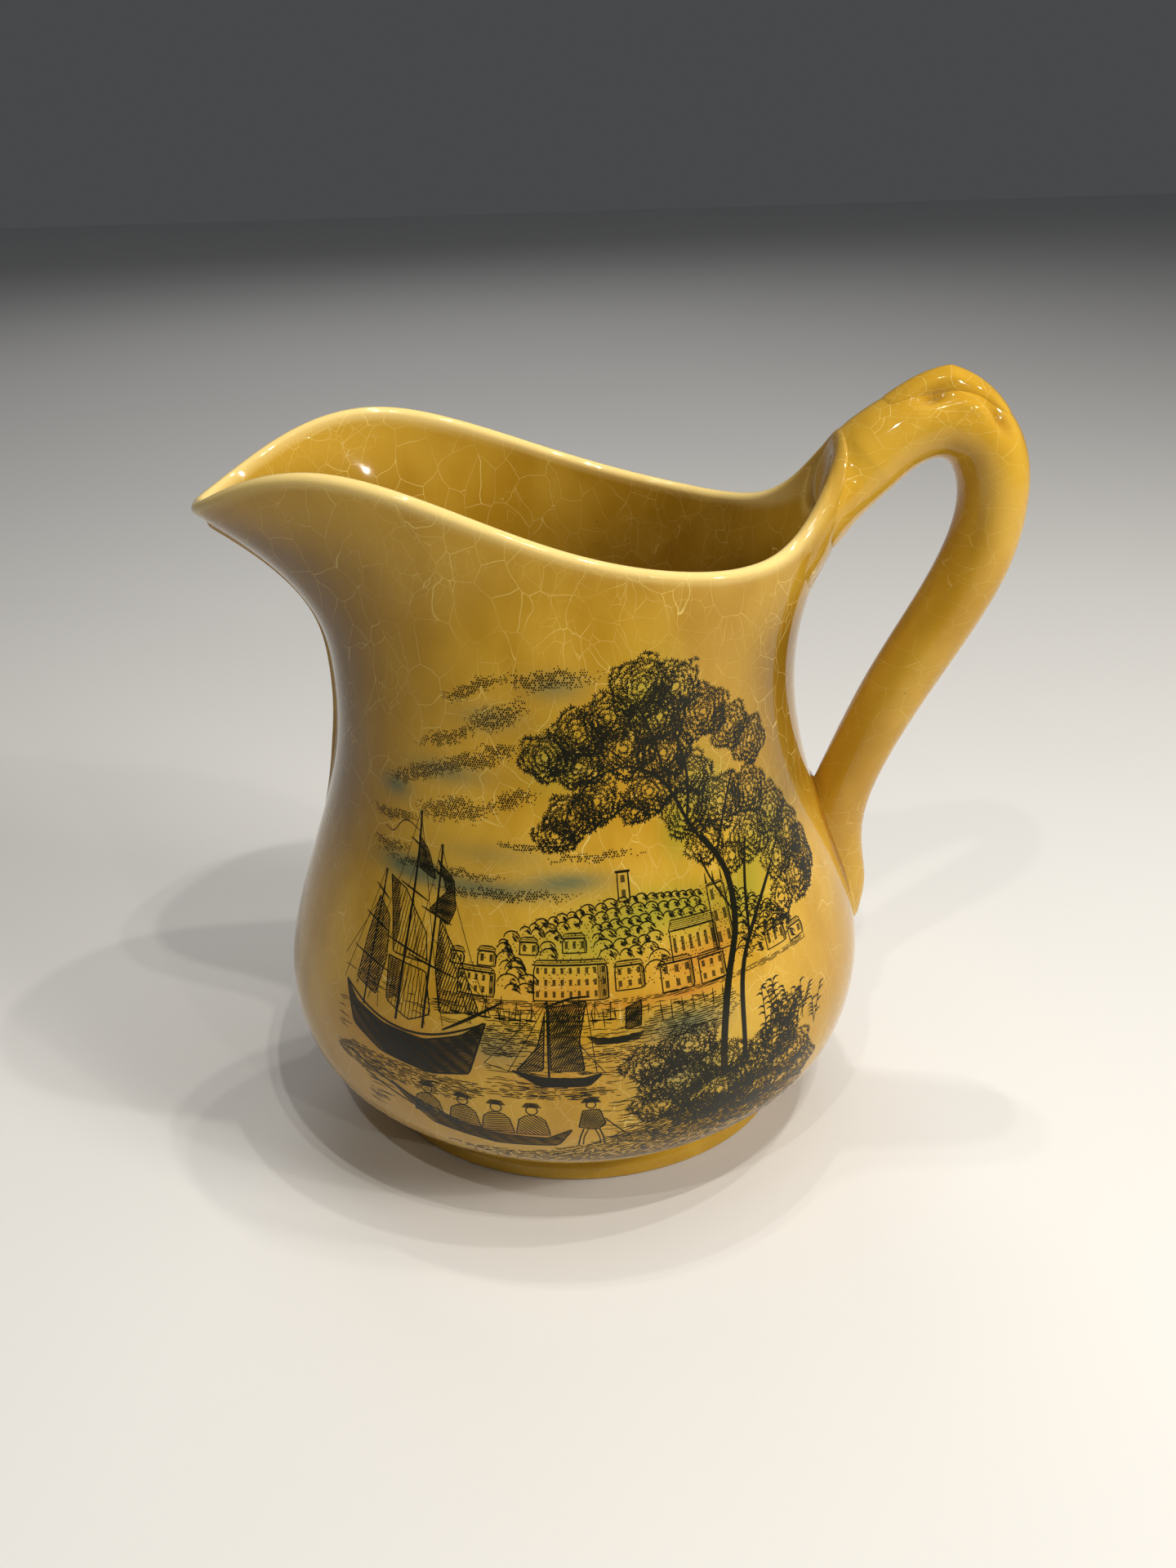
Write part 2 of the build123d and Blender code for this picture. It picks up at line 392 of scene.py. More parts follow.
bodyTree, loopTree = treeOf(body), treeOf(loop)
flat = handleGrid.reshape(-1, 3).copy()
near = np.zeros(len(flat))
upper = (flat[:, 2] > 140) & (flat[:, 0] < 90)
lower = (flat[:, 2] < 112) & (flat[:, 2] > 40)
for zone, radius in ((upper, handle["rootBlend"]), (lower, handle["endBlend"])):
    weight = 1 - 0.65 * ease(flat[zone][:, 2], 166, 175)
    flat[zone], near[zone] = blendOnto(flat[zone], loopTree, bodyTree, radius, weight=weight)
handleGrid = flat.reshape(handleGrid.shape)
handleNear = near.reshape(handleGrid.shape[:2])
calm = ease(handleNear, 0.0, 0.3) * (handleGrid[..., 2] > 140)
handleGrid = relax(handleGrid, calm, 30, True)
bpy.data.objects.remove(loop)
turns = np.linspace(-np.pi, np.pi, handle["columns"] + 1)
turns = np.where(np.arange(handle["columns"] + 1) <= handle["columns"] / 2, turns + np.pi, turns - np.pi)
firstRing = 4 + handle["rootRows"] - 1
ringWays = np.linspace(way[1] + 1.0, way[-1], handle["rows"])
# the dimples under the thumb rest get the pooled colour, partly glaze pooled in them and partly painted
# shade; near the lower joint it is glaze pooled along the crease
handlePoolAndShade = np.zeros(handleGrid.shape[:2])
handlePoolAndShade[firstRing:firstRing + handle["rows"]] = dimples(ringWays[:, None] - knobWay,
    turns[None]) / handle["dimple"]
handlePoolAndShade = np.clip(handlePoolAndShade, 0, 1) + 1.6 * ease(handleGrid[..., 2], 66,
    92) * handleNear * (handleGrid[..., 2] < 112)
loop = gridPiece("handle", handleGrid, pool=np.clip(handlePoolAndShade, 0, 1))
print("handle blended")


# the slip round each end of the handle: a strip of the wall drawn up onto the same blend
def slipStrip(name, spread, fromRow, toRow, radius, innerFade):
    count = vessel["columns"]
    half = int(spread / (2 * np.pi) * count)
    columns = np.arange(-half, half + 1) % count
    patch = vesselPoints[fromRow:toRow][:, columns]
    rows, cols = patch.shape[:2]
    innerStart = len(vessel["under"]) + vessel["outerRows"] + vessel["lipRows"]
    row = np.arange(fromRow, toRow)[:, None] + np.zeros((1, cols))
    weight = 1 - ease(row - innerStart, -vessel["lipRows"] * 0.6, innerFade)
    weight *= 1 - 0.5 * ease(row - innerStart, -vessel["lipRows"] - 4, -vessel["lipRows"] + 2)
    p = patch.reshape(-1, 3)
    lifted, near = blendOnto(p, bodyTree, loopTree, radius, sink=1.0, weight=weight.reshape(-1))
    calm = ease(near, 0.0, 0.3).reshape(rows, cols)
    lifted = relax(lifted.reshape(rows, cols, 3), calm, 12, False).reshape(-1, 3)
    inward = np.zeros_like(p)
    for i, point in enumerate(p):
        _, normal, _, _ = bodyTree.find_nearest(Vector(point))
        inward[i] = -np.array(normal)
    border = np.zeros((rows, cols))
    border[0] = border[-1] = border[:, 0] = border[:, -1] = 1
    sunk = 0.03 + 0.32 * (1 - ease(near, 0.0, 0.12)) + 0.3 * border.reshape(-1)
    gap, _ = distanceTo(loopTree, p)
    bead = (1 - ease(gap, 0.6, 3.4)) * ease(p[:, 2], 50, 80) * (p[:, 2] < 120)
    sunk -= 0.6 * ease(bead, 0.0, 0.6)
    laid = (lifted + inward * sunk[:, None]).reshape(rows, cols, 3)
    strip = gridPiece(name, laid, weld=False, pool=ease(bead, 0.0, 0.35))
    thicken(strip, 0.5)
    return strip


def rowAt(z):
    # the row of the wall grid near a height, close to the handle, where the wall is about 173 mm high
    share = (z - vessel["base"]) / (173 - vessel["base"])
    return len(vessel["under"]) + int(share * (vessel["outerRows"] - 1))


lastUpperRow = len(vessel["under"]) + vessel["outerRows"] + vessel["lipRows"] + 14
upperSlip = slipStrip("upperSlip", 0.95, rowAt(138), lastUpperRow, handle["rootBlend"], 9)
lowerSlip = slipStrip("lowerSlip", 0.30, rowAt(40), rowAt(108), handle["endBlend"], 9)
print("slips", len(upperSlip.data.polygons), len(lowerSlip.data.polygons))


# the thumb rest: a pointed cap with a shoulder on each side, over the top of the bend
def thumbRestRows():
    h = handle
    s, turn = np.meshgrid(np.linspace(-h["knobReach"], h["knobReach"], 70), np.linspace(-0.78, 0.78, 49),
        indexing="ij")
    t = knobWay + s
    cap = h["knobHeight"] * np.clip(1 - np.abs(s) / h["knobReach"], 0, 1) ** 1.35
    cap *= (1 - ease(np.abs(turn), 0.34, 0.60)) * (1 - 0.25 * ease(np.abs(turn), 0, 0.34))
    height = cap - dimples(s, turn) - 0.45 * (1 - ease(cap, 0.0, 0.3))
    return handlePoint(t, turn) + handleNormal(t, turn) * height[..., None], dimples(s, turn) / h["dimple"]


# the thumb rest's dimples carry the pooled colour too: partly pooled glaze, partly painted shade
thumbPoints, thumbPoolAndShade = thumbRestRows()
thumbRest = gridPiece("thumbRest", thumbPoints[:, ::-1], weld=False, pool=np.clip(thumbPoolAndShade[:, ::-1], 0, 1))
thicken(thumbRest, 1.0)
print("thumb rest", len(thumbRest.data.polygons))


# the keel rib: a flat raised strip with a thin bead on each side, fading out on the belly
rib = dict(low=84.0, height=1.35, flat=3.7, bead=5.3, beadHeight=0.4, edge=7.0)


def ribRows():
    r = rib
    tip = rimTop(np.array([np.pi]))[0] - 1.6
    z, y = np.meshgrid(np.linspace(r["low"], tip, 120), np.linspace(-r["edge"], r["edge"], 61), indexing="ij")
    sine = np.clip(y / (halfWidth(z) * (1 - pinch(z))), -0.9, 0.9)
    angle = np.pi - np.arcsin(sine)
    normal = wallNormal(angle, z)
    fade = ease(z, r["low"], r["low"] + 26) * ease(tip - z, 0.0, 1.6)
    side = np.abs(y)
    top = r["height"] * (1 - ease(side, r["flat"] - 0.7, r["flat"] + 0.8))
    bead = r["beadHeight"] * np.exp(-((side - r["bead"]) / 0.5) ** 2)
    height = (top + bead) * fade - 0.25 * ease(side, r["edge"] - 0.9, r["edge"]) - 0.3 * (1 - ease(fade, 0,
        0.15))
    return wallPoint(angle, z) + normal * height[..., None]


keelRib = gridPiece("keelRib", ribRows()[:, ::-1], weld=False)
thicken(keelRib, 0.8)
print("keel rib", len(keelRib.data.polygons))


# the transfer print: fine ribbons of ink laid on the belly. Everything is drawn on the unrolled wall,
# u mm round from the middle of the side and z mm up from the table. The layout follows the jug's own print
printed = dict(
    lift=0.06, turnRadius=62.0, seed=11,
    clumps=[  # foliage: u, z, radius across, radius up
        (20, 137, 7.5, 6.5), (29, 136, 7, 6.5), (25, 130, 8, 6), (37, 129, 8, 6), (46, 124, 7, 5.5), (53,
        119, 6, 5),
        (5, 128, 6.5, 5.5), (12, 131, 6.5, 5.5), (-3, 123, 7, 5.5), (5, 121, 7, 5), (16, 124, 7.5, 6), (26,
        122, 7.5, 5.5),
        (3, 110, 6.5, 5), (9, 113, 6, 4.5), (-1, 106, 5, 3.5), (22, 114, 6, 4.5), (31, 108, 6, 5.5), (33,
        116, 7, 5),
        (41, 108, 7.5, 6), (51, 108, 6.5, 5.5), (35, 100, 5.5, 5), (42, 95, 4.5, 4), (49, 98, 7, 6), (58,
        101, 6, 5.5),
        (63, 94, 5.5, 6), (56, 90, 5.5, 5), (62, 84, 5, 6), (54, 81, 4.5, 4.5), (67, 87, 4, 6), (18, 110,
        4, 2.5),
    ],
    bushes=[(17, 55, 6, 4), (24, 58, 6.5, 4.5), (21, 50, 7.5, 5), (38, 47, 7, 5.5), (44, 51, 6, 5), (30,
    44, 8.5, 5.5),
            (38, 40, 8, 5), (18, 44, 6, 4), (26, 40, 7, 4), (47, 57, 4.5, 3.5), (48, 45, 6, 5), (52, 39,
            5.5, 4.5), (31, 52, 6, 4)],
    clouds=[  # u, z, half length, half height, slope
        (-20, 137, 9, 2.0, 0.35), (-2, 139.6, 13, 2.5, 0.04), (-14, 131.5, 9, 3.2, 0.30), (-27, 126, 10,
        2.1, 0.30),
        (-22, 121, 13, 2.3, 0.20), (-38, 116, 11, 2.4, 0.30), (-14, 124.5, 6, 1.5, 0.1), (-26, 110, 12,
        3.2, 0.10),
        (-11, 113.5, 7, 2.4, 0.20), (-44, 105.5, 9, 1.5, 0.05), (-8, 103.4, 9, 1.1, 0.05), (8, 101, 14,
        1.1, 0.03),
        (-30, 96, 19, 1.3, 0.0), (-14, 92.6, 19, 1.5, 0.02), (-44, 98.5, 7, 1.5, 0.0), (1, 128, 5, 1.2, 0.0),
    ],
)


class Sheet:
    # one sheet of ink marks, kept as centre lines with a width along each
    def __init__(self, name, seed):
        self.name, self.lines, self.random = name, [], np.random.default_rng(seed)

    def line(self, points, width, taper=0.0):
        points = np.asarray(points, float)
        if len(points) < 2:
            return
        length = np.hypot(*np.diff(points, axis=0).T)
        total = length.sum()
        if total < 0.05:
            return
        along = np.concatenate([[0], np.cumsum(length)])
        count = max(2, int(np.ceil(total / 1.3)) + 1)
        s = np.linspace(0, total, max(count, len(points) if total < 6 else count))
        line = np.stack([np.interp(s, along, points[:, 0]), np.interp(s, along, points[:, 1])], -1)
        q = s / total
        self.lines.append((line, width * (1 - taper * np.abs(2 * q - 1) ** 2)))

    def stroke(self, points, width, end):
        # thick at the start and thin at the end
        points = np.asarray(points, float)
        step = np.concatenate([[0], np.cumsum(np.hypot(*np.diff(points, axis=0).T))])
        s = np.linspace(0, step[-1], max(3, int(step[-1] / 1.2) + 1))
        line = np.stack([np.interp(s, step, points[:, 0]), np.interp(s, step, points[:, 1])], -1)
        self.lines.append((line, width + (end - width) * s / max(step[-1], 1e-6)))

    def curve(self, points, width, taper=0.3, count=12):
        knots = np.linspace(0, 1, len(points))
        t = np.linspace(0, 1, count)
        u, z = (spline(knots, [p[i] for p in points])(t) for i in range(2))
        self.line(np.stack([u, z], -1), width, taper)

    def dots(self, u, z, size):
        for a, b, c in zip(u, z, np.broadcast_to(size, np.shape(u))):
            self.lines.append((np.array([[a - c / 2, b], [a + c / 2, b]]), np.array([c, c])))

    def hatch(self, outline, spacing, width, angle=0.0, wave=0.0, gap=0.0):
        # parallel strokes inside an outline
        outline = np.asarray(outline, float)
        c, s = math.cos(math.radians(angle)), math.sin(math.radians(angle))
        turned = outline @ np.array([[c, -s], [s, c]])
        low, high = turned[:, 1].min(), turned[:, 1].max()
        for level in np.arange(low + spacing / 2, high, spacing):
            a, b = turned, np.roll(turned, -1, 0)
            cross = (a[:, 1] > level) != (b[:, 1] > level)
            at = np.sort(a[cross, 0] + (level - a[cross, 1]) * (b[cross, 0] - a[cross, 0]) / (b[cross,
                1] - a[cross, 1]))
            for start, end in zip(at[::2], at[1::2]):
                cuts = [start]
                while gap and cuts[-1] < end:
                    cuts.append(cuts[-1] + self.random.uniform(1.0, 4.0))
                cuts = cuts + [end] if not gap else cuts
                for x0, x1 in zip(cuts, cuts[1:]):
                    x1 = min(x1, end)
                    if gap:
                        x0 += self.random.uniform(0, gap)
                    if x1 - x0 < 0.2:
                        continue
                    x = np.linspace(x0, x1, max(2, int((x1 - x0) / 1.2) + 1))
                    y = level + wave * np.sin(x * 1.3 + level * 2)
                    self.line(np.stack([x, y], -1) @ np.array([[c, s], [-s, c]]), width, 0.3)

    def shape(self, outline, width):
        self.line(list(outline) + [outline[0]], width)

    def leaves(self, u, z, across, up, apart, size=1.5, width=0.18):
        # a clump: rings of feathered sprigs that all turn outwards, thicker on the shaded side
        r = self.random
        for ring in np.arange(apart * 0.6, 1.0 * max(across, up), apart):
            far = ring / max(across, up)
            count = max(4, int(2 * np.pi * ring / (apart * 0.95)))
            for turn in 2 * np.pi * (np.arange(count) + r.uniform(0, 1)) / count:
                edge = far * (1 + 0.13 * math.sin(turn * 5 + u) + r.normal(0, 0.04))
                cu, cz = u + across * edge * math.cos(turn), z + up * edge * math.sin(turn)
                lean = turn + r.normal(0, 0.28)
                dark = 0.85 + 0.55 * far * max(0.0, math.sin(-turn + 0.5)) + 0.25 * (r.uniform(0, 1) > 0.75)
                for k in (-2, -1, 0, 1, 2):
                    a, bend = lean + k * 0.5, k * 0.2 + r.normal(0, 0.08)
                    long = size * r.uniform(0.7, 1.0) * (1 - 0.13 * abs(k))
                    path = [(cu + q * long * math.cos(a + q * bend),
                        cz + q * long * math.sin(a + q * bend)) for q in (0.2, 0.6, 1.0)]
                    self.lines.append((np.array(path), width * dark * np.array([0.55, 1.0, 0.4])))

    def stipple(self, inside, low, high, pitch, size):
        r = self.random
        u, z = np.meshgrid(np.arange(low[0], high[0], pitch), np.arange(low[1], high[1], pitch * 0.86))
        u = u + (np.arange(len(u))[:, None] % 2) * pitch / 2
        u, z = u + r.normal(0, pitch * 0.08, u.shape), z + r.normal(0, pitch * 0.08, z.shape)
        level = inside(u, z)
        keep = level > r.uniform(0, 1, u.shape)
        self.dots(u[keep], z[keep], size * (0.55 + 0.6 * np.clip(level[keep], 0, 1)))

    def move(self, start, scale, about, to):
        # rescales and shifts the marks drawn since start
        about, to = np.array(about), np.array(to)
        self.lines[start:] = [((line - about) * scale + to, width) for line, width in self.lines[start:]]

    def build(self, side):
        # the wall is followed by every point; side -1 is the front and 1 the back
        sizes = np.array([len(line) for line, _ in self.lines])
        centre = np.concatenate([line for line, _ in self.lines])
        width = np.concatenate([w for _, w in self.lines])
        along = np.concatenate([np.gradient(line, axis=0) for line, _ in self.lines])
        along = unit(along)
        across = np.stack([-along[:, 1], along[:, 0]], -1) * width[:, None] / 2
        both = np.stack([centre - across, centre + across], 1).reshape(-1, 2)
        angle = side * np.pi / 2 + both[:, 0] / printed["turnRadius"]
        normal = wallNormal(angle, both[:, 1])
        points = wallPoint(angle, both[:, 1]) + normal * printed["lift"]
        starts = np.concatenate([[0], np.cumsum(sizes)[:-1]])
        first = np.concatenate([start + np.arange(size - 1) for start, size in zip(starts, sizes)])
        faces = np.stack([2 * first, 2 * first + 2, 2 * first + 3, 2 * first + 1], -1)
        mesh = bpy.data.meshes.new(self.name)
        mesh.from_pydata((points * mm).tolist(), [], faces.tolist())
        mesh.update()
        normals = np.empty(len(mesh.polygons) * 3, np.float32)
        mesh.polygons.foreach_get("normal", normals)
        if (normals.reshape(-1, 3) * normal[faces[:, 0]]).sum(1).mean() < 0:
            mesh.flip_normals()
        piece = bpy.data.objects.new(self.name, mesh)
        bpy.context.scene.collection.objects.link(piece)
        pickNothing()
        piece.select_set(True)
        bpy.context.view_layer.objects.active = piece
        bpy.ops.object.shade_smooth()
        print(self.name, len(mesh.polygons))
        return piece


def drawSky(sheet):
    for u, z, long, high, slope in printed["clouds"]:
        def puff(a, b):
            x = (a - u) / long
            ripple = 0.35 * np.sin(a * 0.55 + z) + 0.2 * np.sin(a * 1.3)
            y = (b - z - slope * (a - u) - ripple) / high
            return np.clip(1.3 - 1.15 * (x * x + y * y), 0, 1) * 0.85
        sheet.stipple(puff, (u - long * 1.1, z - long * slope - high * 1.6), (u + long * 1.1,
            z + long * slope + high * 1.6),
                      0.58, 0.33)


def drawTree(sheet):
    trunks = [
        ([(31, 49), (31.5, 56), (33, 64), (35.5, 72), (38.5, 79), (39.8, 86), (39, 94), (34, 102)], 1.7),
        ([(36, 50), (36.4, 58), (38, 69), (42, 77), (47, 83), (53, 89)], 1.2), ([(42, 77), (44, 88), (47,
        98)], 0.8),
        ([(37, 97), (31, 106), (26, 115), (17, 120), (8, 118)], 0.9), ([(31, 106), (32, 116), (29, 126)],
        0.8),
        ([(26, 115), (24, 124), (20, 132)], 0.6), ([(38, 97), (42, 106), (46, 114)], 0.7), ([(53, 89), (58,
        94), (61, 96)], 0.5),
        ([(39, 84), (35, 92), (33, 98)], 0.5), ([(8, 118), (3, 112), (1, 108)], 0.4), ([(17, 120), (10,
        125), (0, 123)], 0.45),
    ]
    for points, width in trunks:
        for shift in (-0.3, 0.0, 0.3):
            moved = [(u + shift * width, z) for u, z in points]
            sheet.curve(moved, width * 0.36, 0.35, 22)
    for u, z, across, up in printed["clumps"]:
        sheet.leaves(u, z, across, up, 1.25, 1.45, 0.28)
    for u, z, across, up in printed["bushes"]:
        sheet.leaves(u, z, across, up, 1.25, 1.4, 0.26)
    r = sheet.random
    for _ in range(26):  # reeds and sprays beside the trunks
        u, z = r.uniform(40, 56), r.uniform(46, 56)
        tall, lean = r.uniform(4, 11), r.normal(0.25, 0.3)
        stem = [(u, z), (u + lean * tall * 0.4, z + tall * 0.5), (u + lean * tall, z + tall)]
        sheet.curve(stem, 0.22, 0.5, 8)
        for q in np.linspace(0.3, 1.0, 6):
            a, b = u + lean * tall * q, z + tall * q
            side = r.choice([-1, 1])
            sheet.stroke([(a, b), (a + side * 1.0, b + 0.5), (a + side * 1.6, b + 0.2)], 0.6, 0.15)
    for _ in range(60):  # leaves and stones along the bank
        u = r.uniform(14, 54)
        z = 28 + 9 * r.uniform(0, 1)
        for k in range(5):
            a = k * 1.257 + r.uniform(0, 1)
            sheet.stroke([(u, z), (u + 0.9 * math.cos(a), z + 0.7 * math.sin(a))], 0.42, 0.12)


def drawBank(sheet):
    bank = [(-26, 30), (-8, 30.5), (6, 35), (14, 41), (24, 42), (38, 38), (52, 37), (56, 31), (46, 25),
        (24, 22.5), (2, 24), (-16, 26.5)]
    sheet.hatch(bank, 0.75, 0.26, 6, 0.25, 0.8)
    sheet.hatch(bank, 1.6, 0.2, 32, 0.2, 1.6)
    dark = [(8, 34), (16, 40), (28, 41), (44, 38), (50, 34), (38, 31), (20, 31)]
    sheet.hatch(dark, 0.6, 0.28, 14, 0.15, 0.8)
    r = sheet.random
    for _ in range(150):
        u, z = r.uniform(-22, 54), r.uniform(23.5, 37)
        if z < 27 + 0.2 * (u + 22) and z > 23 + 0.05 * u:
            a = r.uniform(0.6, 2.4)
            sheet.stroke([(u, z), (u + 1.6 * math.cos(a) * 0.6, z + 1.3 * math.sin(a))], 0.3, 0.08)


def window(sheet, u, z, w, h):
    sheet.hatch([(u, z), (u + w, z), (u + w, z + h), (u, z + h)], 0.26, 0.27)


def house(sheet, u, z, w, h, across, floors, roof=1.2):
    sheet.shape([(u, z), (u + w, z), (u + w, z + h), (u, z + h)], 0.26)
    sheet.shape([(u - 0.2, z + h), (u + w + 0.2, z + h), (u + w - 0.6, z + h + roof), (u + 0.6,
        z + h + roof)], 0.18)
    sheet.hatch([(u, z + h), (u + w, z + h), (u + w - 0.6, z + h + roof), (u + 0.6, z + h + roof)], 0.4, 0.14)
    for i in range(across):
        for j in range(floors):
            window(sheet, u + (i + 0.3) * w / across, z + (j + 0.3) * h / floors, 0.36 * w / across,
                0.5 * h / floors)
    sheet.hatch([(u + w * 0.86, z), (u + w, z), (u + w, z + h), (u + w * 0.86, z + h)], 0.3, 0.14, 90)


def drawTown(sheet):
    r = sheet.random
    ridge = spline([-26, -19, -11, 2, 13, 23, 33, 45, 56], [73, 78.5, 85, 90, 92, 92, 90.5, 86, 75])
    built = [(-22, 71, 10, 8), (-6, 71, 15, 10), (10.5, 74, 8, 7), (19, 69, 18, 7), (22, 76.5, 17, 10),
        (33, 76, 6, 16),
             (-18, 78, 5, 5), (-9, 81, 5, 5), (0, 82, 6, 5), (45, 70, 8, 6)]
    for level in np.linspace(0.1, 1.0, 9):
        u = -22 + r.uniform(0, 2)
        while u < 54:
            base = 73 + (float(ridge(u)) - 73) * level
            w = r.uniform(2.6, 4.8) * (1.15 - 0.4 * level)
            if any(a - 1 < u < a + c + 0.5 and b - 0.5 < base < b + d for a, b, c, d in built):
                u += w * 0.5
                continue
            t = np.linspace(0.1, np.pi - 0.1, 9)
            sheet.line(np.stack([u + w * 0.5 * np.cos(t), base - 1.4 + w * 0.45 * np.sin(t)], -1), 0.3, 0.4)
            for k in range(9):
                a, far = r.uniform(-0.3, 1.5), r.uniform(0.15, 0.9)
                sheet.stroke([(u + w * 0.5 * far * math.cos(a), base - 1.4 + w * 0.42 * far * math.sin(a)),
                              (u + w * 0.5 * far * math.cos(a) + 0.6,
                              base - 1.5 + w * 0.42 * far * math.sin(a) - 0.4)], 0.3, 0.12)
            u += w * 0.82
    sheet.stipple(lambda a, b: 0.35 * ((b > 73) & (b < ridge(a) + 0.4)), (-24, 73), (54, 92), 0.8, 0.3)
    # a watchtower, a chapel, the terraces along the quay and small houses up the slope
    house(sheet, 12.6, 91, 2.6, 6.2, 1, 2, 0.4)
    sheet.line([(12.2, 97.4), (15.6, 97.4)], 0.5)
    house(sheet, 23, 76.5, 11, 6.5, 6, 1, 2.4)
    house(sheet, 33.5, 76.5, 4.6, 14, 2, 3, 0.5)
    for spire in (33.6, 35.6, 37.8):
        sheet.stroke([(spire, 91), (spire, 93.4)], 0.5, 0.1)
    for u, z, w, h, a, f in ((-22, 71, 8, 5, 5, 2), (-6, 71, 15, 7.4, 9, 3), (10.5, 72.5, 6, 5, 3, 2), (20,
        70.5, 7, 6, 3, 2),
                             (28.5, 70.5, 6, 5.4, 3, 2), (46, 72, 6, 4, 3, 1), (-18, 77.5, 4, 3, 2, 1),
                             (-9, 80.5, 4, 2.6, 2, 1),
                             (0, 81, 5, 3, 3, 1), (-24, 77, 3, 2.6, 2, 1), (53, 71, 5, 3, 2, 1)):
        house(sheet, u, z, w, h, a, f)
    sheet.hatch([(-26, 69.6), (58, 69.6), (58, 70.8), (-26, 70.8)], 0.36, 0.2, 2, 0.05, 0.9)
    for u in np.arange(-22, 10, 3.1):  # masts of small craft along the quay
        tall = r.uniform(3, 5.5)
        sheet.line([(u, 66.5), (u + 0.2, 66.5 + tall)], 0.16)
        sheet.line([(u - 1.2, 66.6), (u + 1.2, 66.6)], 0.5, 0.6)
        sheet.line([(u - 0.9, 67), (u + 0.15, 66.5 + tall * 0.9), (u + 1.0, 67)], 0.1)


def sail(sheet, outline, spacing=0.5, width=0.2, angle=70, dense=None):
    sheet.shape(outline, 0.26)
    sheet.hatch(outline, spacing, width, angle, 0.08)
    if dense:
        sheet.hatch(dense, 0.42, 0.24, angle - 40, 0.05)


